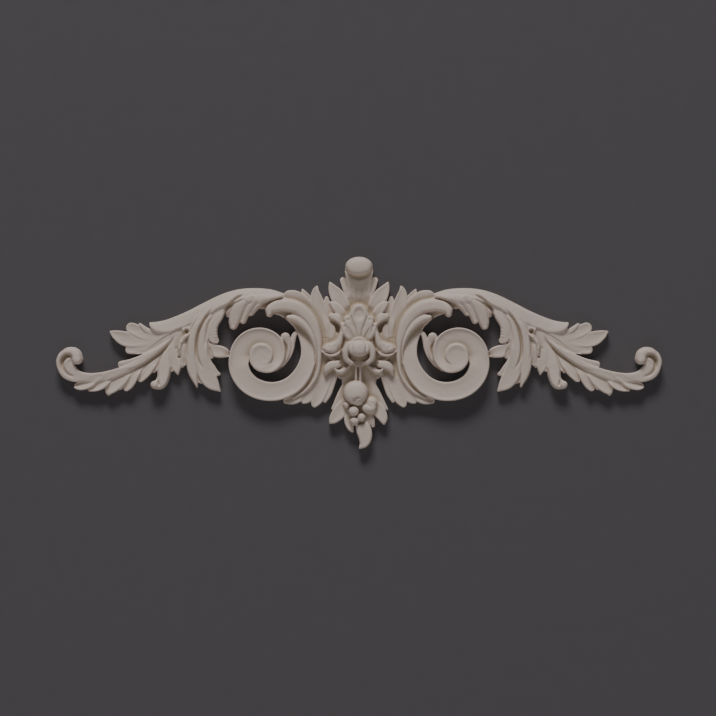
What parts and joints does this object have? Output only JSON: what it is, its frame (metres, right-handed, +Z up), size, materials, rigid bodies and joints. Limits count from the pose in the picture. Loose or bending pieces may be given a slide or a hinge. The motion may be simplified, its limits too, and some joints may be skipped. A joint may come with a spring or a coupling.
{
  "type": "polyurethane onlay",
  "caption": "Wide cast wall onlay: a palmette, knot and fruit drop between mirrored C-scrolls with volutes and long acanthus branches, flat behind.",
  "frame": {"origin": "on the flat back, on the centre line behind the knot, where the onlay is fixed to the wall", "axes": "+X to the right along the length as seen from the front, +Z up, front towards -Y, back facing +Y"},
  "size_m": [0.64, 0.03, 0.2029],
  "materials": {
    "primed_casting": "matte off-white primed polyurethane, slightly warmer in the hollows"
  },
  "bodies": {
    "root": {"onlay": "primed_casting"}
  },
  "joints": []
}
